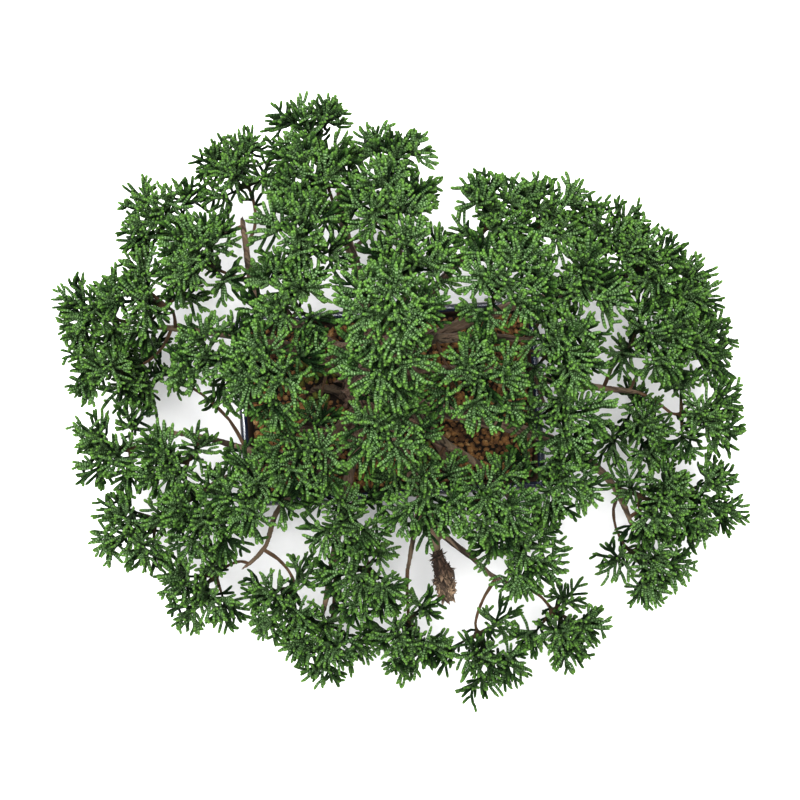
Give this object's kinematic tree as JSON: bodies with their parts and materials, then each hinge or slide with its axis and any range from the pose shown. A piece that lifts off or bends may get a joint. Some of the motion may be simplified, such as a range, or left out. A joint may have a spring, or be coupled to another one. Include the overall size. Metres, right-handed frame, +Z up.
{
  "type": "chinese juniper bonsai",
  "caption": "Informal upright juniper bonsai with layered tufts of whipcord foliage, planted in granular soil in a low rectangular glazed pot with corner feet.",
  "frame": {"origin": "on the surface that the pot's feet stand on, under the middle of the whole object's outline", "axes": "+X along the pot's long side, +Y towards the pot's back, +Z up"},
  "size_m": [0.3642, 0.3298, 0.2897],
  "materials": {
    "glaze": "gloss, mottled dark blue, bare brown clay under the pot",
    "mesh_plastic": "matte",
    "clay_granules": "matte, loose granules",
    "bark": "fibrous bark in long strips",
    "bleached_wood": "dry, flaky and weathered",
    "foliage": "satin scale leaves"
  },
  "bodies": {
    "root": {"pot": "glaze", "screen_left": "mesh_plastic", "screen_right": "mesh_plastic", "soil": "clay_granules", "wood": "bark", "deadwood": "bleached_wood", "foliage_back_1": "foliage", "foliage_back_2": "foliage", "foliage_back_3": "foliage", "foliage_back_left_1": "foliage", "foliage_back_left_2": "foliage", "foliage_back_left_3": "foliage", "foliage_left_1": "foliage", "foliage_left_2": "foliage", "foliage_left_3": "foliage", "foliage_left_4": "foliage", "foliage_left_low_1": "foliage", "foliage_left_low_2": "foliage", "foliage_left_low_3": "foliage", "foliage_left_front_1": "foliage", "foliage_left_front_2": "foliage", "foliage_left_front_3": "foliage", "foliage_front_left_1": "foliage", "foliage_front_left_2": "foliage", "foliage_front_middle_1": "foliage", "foliage_front_middle_2": "foliage", "foliage_front_middle_3": "foliage", "foliage_front_low_1": "foliage", "foliage_front_right_1": "foliage", "foliage_front_right_2": "foliage", "foliage_right_front_1": "foliage", "foliage_right_front_2": "foliage", "foliage_right_front_3": "foliage", "foliage_right_1": "foliage", "foliage_right_2": "foliage", "foliage_right_3": "foliage", "foliage_right_4": "foliage", "foliage_right_5": "foliage", "foliage_right_back_1": "foliage", "foliage_right_back_2": "foliage", "foliage_right_back_3": "foliage", "foliage_back_right_1": "foliage", "foliage_back_right_2": "foliage", "foliage_high_left_1": "foliage", "foliage_high_left_2": "foliage", "foliage_high_left_3": "foliage", "foliage_high_left_4": "foliage", "foliage_crown_1": "foliage", "foliage_crown_2": "foliage", "foliage_high_back_1": "foliage", "foliage_high_back_2": "foliage", "foliage_high_right_1": "foliage", "foliage_high_right_2": "foliage", "foliage_high_right_3": "foliage", "foliage_high_right_4": "foliage", "foliage_high_front_1": "foliage", "foliage_high_front_2": "foliage", "foliage_high_front_3": "foliage", "foliage_high_front_4": "foliage", "foliage_high_front_5": "foliage"}
  },
  "joints": []
}
